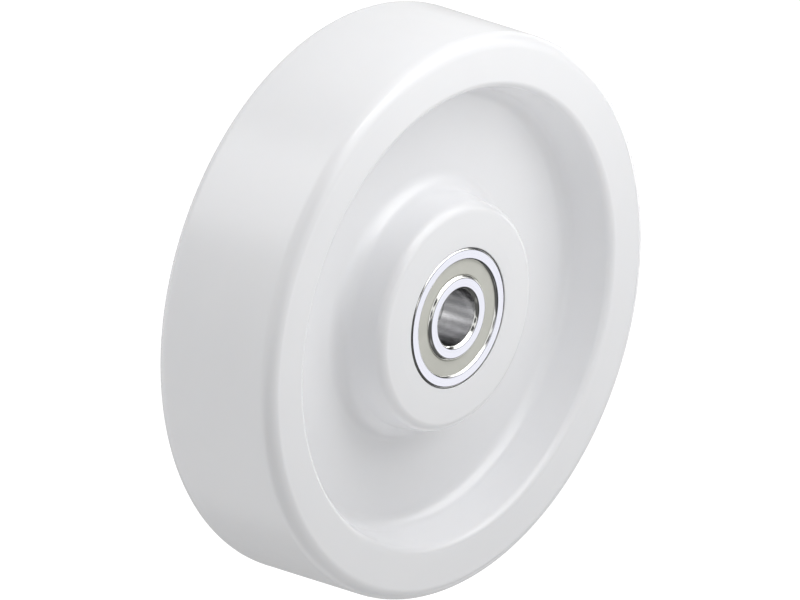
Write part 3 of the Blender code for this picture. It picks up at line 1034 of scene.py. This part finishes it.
# %% Turn the seals and the spacer
seal_sizes = {
    "Seal Radius": seal_high.x,
    "Lip Radius": INNER_RING_RADIUS + 0.12 * MM,
    "Top": SEAL_TOP,
    "Thickness": SEAL_THICKNESS,
    "Lip Thickness": 0.35 * MM,
    "Lip Taper": 0.6 * MM,
    "Small Round": 0.08 * MM,
}
seal_corners = (
    ("Lip Radius", "Top - Lip Thickness", "Small Round"),
    ("Lip Radius", "Top", "Small Round"),
    ("Seal Radius", "Top", "Small Round"),
    ("Seal Radius", "Top - Thickness", "Small Round"),
    ("Lip Radius + Lip Taper", "Top - Thickness", ""),
)
seal_tree = section_tree("turned seal", seal_sizes, seal_corners, mirrored=False)
for side, (height, over) in SIDES.items():
    for place, turned in (("outer", over), ("inner", pi - over)):
        made_by(
            seal_tree, f"{side}_{place}_seal_ring", "wheel", "seal", [f"{side}_{place}_seal"],
            Material=RUBBER, Height=height, Turn_Over=turned, Round_Steps=3,
        )
spacer_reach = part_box("spacer_tube")[1]
spacer_sizes = {
    "Bore Radius": BORE_RADIUS,
    "Spacer Radius": spacer_reach.x,
    "Half Length": spacer_reach.z,
    "Edge": SEAM_EDGE,
}
spacer_corners = (
    ("Bore Radius", "Half Length - Edge", ""),
    ("Bore Radius + Edge", "Half Length", ""),
    ("Spacer Radius - Edge", "Half Length", ""),
    ("Spacer Radius", "Half Length - Edge", ""),
)
spacer_tree = section_tree("turned spacer", spacer_sizes, spacer_corners)
made_by(spacer_tree, "bore_spacer", "axle_sleeve", "turned_steel", ["spacer_tube"], Material=TURNED_STEEL)

# %% [markdown]
# Balls and rivets in a ring
#
# Seven balls and seven rivets stand on one circle round the axle. They could be copied by a loop, as the
# frame's source does it. A tree does it with one copy: it holds the tree of a single piece, and stands an
# instance of that on each point of a circle. A rivet is turned like the rings. Its domed head is a corner
# with a large round.

# %% The tree that stands copies in a ring
def ball_tree():
    tree, given = new_tree("ball", {"Ball Radius": BALL_RADIUS}, {"Fineness": 5})
    sphere = node(
        tree, "GeometryNodeMeshIcoSphere", {"Radius": given["Ball Radius"], "Subdivisions": given["Fineness"]}
    )
    return end_tree(tree, given, sphere.outputs["Mesh"])


def ring_tree(name, single):
    """A geometry tree that stands copies of another tree's piece on a circle round the axle."""
    tree, given = new_tree(name, {"Ring Radius": PITCH_RADIUS, "First Angle": 0.0}, {"Copies": BALL_COUNT})
    circle = node(
        tree, "GeometryNodeMeshCircle", {"Vertices": given["Copies"], "Radius": given["Ring Radius"]}
    )
    piece = node(tree, "GeometryNodeGroup", node_tree=single)
    copies = node(
        tree, "GeometryNodeInstanceOnPoints",
        {"Points": circle.outputs["Mesh"], "Instance": piece.outputs["Mesh"]},
    )
    turned = vector(tree, Z=given["First Angle"])
    placed = node(tree, "GeometryNodeTransform", {"Geometry": copies.outputs[0], "Rotation": turned})
    real = node(tree, "GeometryNodeRealizeInstances", {0: placed.outputs[0]})
    return end_tree(tree, given, real.outputs[0])


# %% [markdown]
# The balls and the rivets
#
# A dome is part of a ball, so its radius follows from how wide and how high the head is. The rivets stand
# half a step round from the balls, where the cage's two halves meet.

# %% Stand the balls and the rivets
rivet_low, rivet_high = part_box("front_cage_rivet_1")
HEAD_RADIUS = (rivet_high.x - rivet_low.x) / 2
HALF_RIVET = (rivet_high.z - rivet_low.z) / 2
HEAD_HEIGHT = 0.5 * MM
DOME_RADIUS = (HEAD_RADIUS**2 + HEAD_HEIGHT**2) / (2 * HEAD_HEIGHT)
DOME_TURN = DOME_RADIUS * tan(asin(HEAD_RADIUS / DOME_RADIUS) / 2)
rivet_sizes = {
    "Half Rivet": HALF_RIVET,
    "Head Height": HEAD_HEIGHT,
    "Head Radius": HEAD_RADIUS,
    "Shank Radius": 0.7 * MM,
    "Dome Turn": DOME_TURN,
    "Dome Radius": DOME_RADIUS,
}
rivet_corners = (
    ("", "Half Rivet", ""),
    ("Dome Turn", "Half Rivet", "Dome Radius"),
    ("Head Radius", "Half Rivet - Head Height", ""),
    ("Shank Radius", "Half Rivet - Head Height", ""),
)
one_rivet = section_tree("turned rivet", rivet_sizes, rivet_corners, bored=False, steps=24)
rivet_ring = ring_tree("ring of rivets", one_rivet)
ball_ring = ring_tree("ring of balls", ball_tree())
for side, (height, over) in SIDES.items():
    balls = [f"{side}_ball_{number + 1}" for number in range(BALL_COUNT)]
    rivets = [f"{side}_cage_rivet_{number + 1}" for number in range(BALL_COUNT)]
    made_by(
        ball_ring, f"{side}_balls", f"{side}_cage", "bearing_steel", balls,
        Material=BALL_STEEL, Height=height,
    )
    made_by(
        rivet_ring, f"{side}_rivets", f"{side}_cage", "pressed_steel", rivets,
        Material=CAGE_STEEL, Height=height, First_Angle=pi / BALL_COUNT,
    )

# %% [markdown]
# The cages
#
# A cage half is pressed from flat strip: level between two balls, where the rivets go, and bent to a half
# round over each ball. It could be drawn with a curve by hand, one bend at a time. Here a section follows a
# path, and the path's points come from their index alone, which gives the ball that they pass and how far
# they are round it.

# %% Where the strip goes
def about_axle(tree, spot, angle):
    """A vector turned about the axle."""
    turned = node(tree, "ShaderNodeVectorRotate", {"Vector": spot, "Angle": angle}, rotation_type="Z_AXIS")
    return turned.outputs[0]


def strip_place(tree, given, per_ball, pitch):
    """A field that puts each point of a line on its ball's half round."""
    index = node(tree, "GeometryNodeInputIndex").outputs[0]
    ball = sum_of(tree, "FLOOR", sum_of(tree, "DIVIDE", sum_of(tree, "ADD", index, 0.5), per_ball))
    step = sum_of(tree, "SUBTRACT", index, sum_of(tree, "MULTIPLY", ball, per_ball))
    round_share = sum_of(tree, "DIVIDE", step, given["Arc Steps"])
    middle = sum_of(tree, "MULTIPLY_ADD", given["Strip Thickness"], 0.5, given["Hollow Radius"])
    level = sum_of(tree, "MULTIPLY_ADD", given["Strip Thickness"], 0.5, given["Half Split"])
    first = sum_of(tree, "ARCSINE", sum_of(tree, "DIVIDE", level, middle))
    sweep = sum_of(tree, "MULTIPLY_ADD", first, -2.0, pi)
    angle = sum_of(tree, "MULTIPLY_ADD", sweep, round_share, first)
    aside = sum_of(tree, "MULTIPLY", middle, sum_of(tree, "MULTIPLY", sum_of(tree, "COSINE", angle), -1.0))
    up = sum_of(tree, "MULTIPLY", middle, sum_of(tree, "SINE", angle))
    spot = vector(tree, X=given["Ring Radius"], Y=aside, Z=up)
    return about_axle(tree, spot, sum_of(tree, "MULTIPLY", ball, pitch))


# %% [markdown]
# Keep the strip level
#
# A section that follows a bent path may twist on the way, so each point is told which way is outward.

# %% The tree that bends a strip
def strip_outward(tree, pitch):
    """A field that gives each point the direction from the axle to its nearest ball."""
    position = node(tree, "GeometryNodeInputPosition").outputs[0]
    here = node(tree, "ShaderNodeSeparateXYZ", {0: position}).outputs
    angle = sum_of(tree, "ARCTAN2", here["Y"], here["X"])
    nearest = sum_of(tree, "MULTIPLY", sum_of(tree, "ROUND", sum_of(tree, "DIVIDE", angle, pitch)), pitch)
    return about_axle(tree, (1.0, 0.0, 0.0), nearest)


def strip_tree(sizes):
    counts = {"Balls": BALL_COUNT, "Arc Steps": 28, "Bend Steps": 3, "Edge Steps": 2}
    tree, given = new_tree("bent strip", sizes, counts)
    per_ball = sum_of(tree, "ADD", given["Arc Steps"], 1.0)
    pitch = sum_of(tree, "DIVIDE", 2 * pi, given["Balls"])
    count = sum_of(tree, "MULTIPLY", per_ball, given["Balls"])
    waved = drawn_line(tree, count, strip_place(tree, given, per_ball, pitch), True)
    bent = rounded(tree, waved, given["Bend Round"], given["Bend Steps"])
    guided = node(
        tree, "GeometryNodeSetCurveNormal", {"Curve": bent, "Normal": strip_outward(tree, pitch)}, mode="FREE"
    )
    section = node(
        tree, "GeometryNodeCurvePrimitiveQuadrilateral",
        {"Width": given["Strip Width"], "Height": given["Strip Thickness"]},
    )
    eased = rounded(tree, section.outputs[0], given["Edge Round"], given["Edge Steps"])
    swept = node(tree, "GeometryNodeCurveToMesh", {"Curve": guided.outputs[0], "Profile Curve": eased})
    return end_tree(tree, given, swept.outputs[0])


# %% [markdown]
# Two halves to each cage
#
# Both halves are the same strip, one turned over. The split between them, and how high a strip reaches over
# a ball, are read from the frame. What is left of that height above the ball and its gap is the strip's
# thickness.

# %% Bend the cages
strip_low, strip_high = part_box("front_cage_outer_half")
POCKET_GAP = 0.15 * MM
strip_sizes = {
    "Ring Radius": PITCH_RADIUS,
    "Hollow Radius": BALL_RADIUS + POCKET_GAP,
    "Strip Width": 3.0 * MM,
    "Strip Thickness": strip_high.z - BEARING_HEIGHT - BALL_RADIUS - POCKET_GAP,
    "Half Split": strip_low.z - BEARING_HEIGHT,
    "Bend Round": 0.45 * MM,
    "Edge Round": 0.08 * MM,
}
cage_tree = strip_tree(strip_sizes)
for side, (height, over) in SIDES.items():
    for place, turned in (("outer", over), ("inner", pi - over)):
        made_by(
            cage_tree, f"{side}_{place}_strip", f"{side}_cage", "pressed_steel",
            [f"{side}_cage_{place}_half"], Material=CAGE_STEEL, Height=height, Turn_Over=turned,
        )
